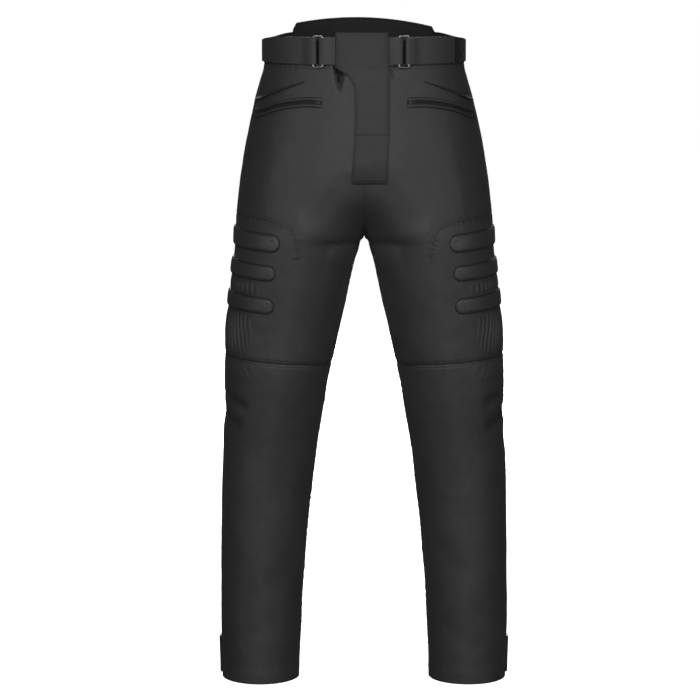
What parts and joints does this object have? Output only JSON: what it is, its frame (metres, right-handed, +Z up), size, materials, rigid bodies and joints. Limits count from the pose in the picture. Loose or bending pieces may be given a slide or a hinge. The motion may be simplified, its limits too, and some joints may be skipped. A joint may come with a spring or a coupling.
{
  "type": "motorcycle trousers",
  "caption": "Long textile motorcycle trousers in their worn, hollow form, with a tabbed fly, ringed waist straps, slanted hip pockets and padded knee ribs.",
  "frame": {"origin": "middle of the waist opening, at half the height of the front waistband", "axes": "+Z up, the front faces -Y, +X to the right as seen from the front"},
  "size_m": [0.4864, 0.2677, 1.0934],
  "materials": {
    "shell_cloth": "plain woven textile with a soft satin sheen, charcoal",
    "panel_cloth": "plain woven textile, a little darker and more matt",
    "rib_cloth": "padded woven textile with fine lengthwise sheen",
    "band_cloth": "plain woven textile, charcoal",
    "back_band_cloth": "near-black matt textile",
    "flap_cloth": "plain woven textile, the lightest of the garment",
    "strap_webbing": "flat woven webbing with a soft sheen",
    "ring_metal": "dull grey metal",
    "zip_tape": "near-black zip tape"
  },
  "bodies": {
    "root": {"closure_flap": "flap_cloth", "hem_tab_left": "panel_cloth", "hem_tab_right": "panel_cloth", "hip_tuck_left": "shell_cloth", "hip_tuck_right": "shell_cloth", "knee_panel_left": "panel_cloth", "knee_panel_right": "panel_cloth", "knee_rib_1_left": "rib_cloth", "knee_rib_1_right": "rib_cloth", "knee_rib_2_left": "rib_cloth", "knee_rib_2_right": "rib_cloth", "knee_rib_3_left": "rib_cloth", "knee_rib_3_right": "rib_cloth", "pocket_lip_lower_left": "shell_cloth", "pocket_lip_lower_right": "shell_cloth", "pocket_lip_upper_left": "shell_cloth", "pocket_lip_upper_right": "shell_cloth", "pocket_zip_left": "zip_tape", "pocket_zip_right": "zip_tape", "ring_loop_left": "strap_webbing", "ring_loop_right": "strap_webbing", "shin_back_left": "shell_cloth", "shin_back_right": "shell_cloth", "shin_front_left": "shell_cloth", "shin_front_right": "shell_cloth", "thigh_back_left": "shell_cloth", "thigh_back_right": "shell_cloth", "thigh_front_left": "shell_cloth", "thigh_front_right": "shell_cloth", "waist_ring_left": "ring_metal", "waist_ring_right": "ring_metal", "waist_strap_left": "strap_webbing", "waist_strap_right": "strap_webbing", "waistband_back": "back_band_cloth", "waistband_front_left": "band_cloth", "waistband_front_right": "band_cloth"}
  },
  "joints": []
}
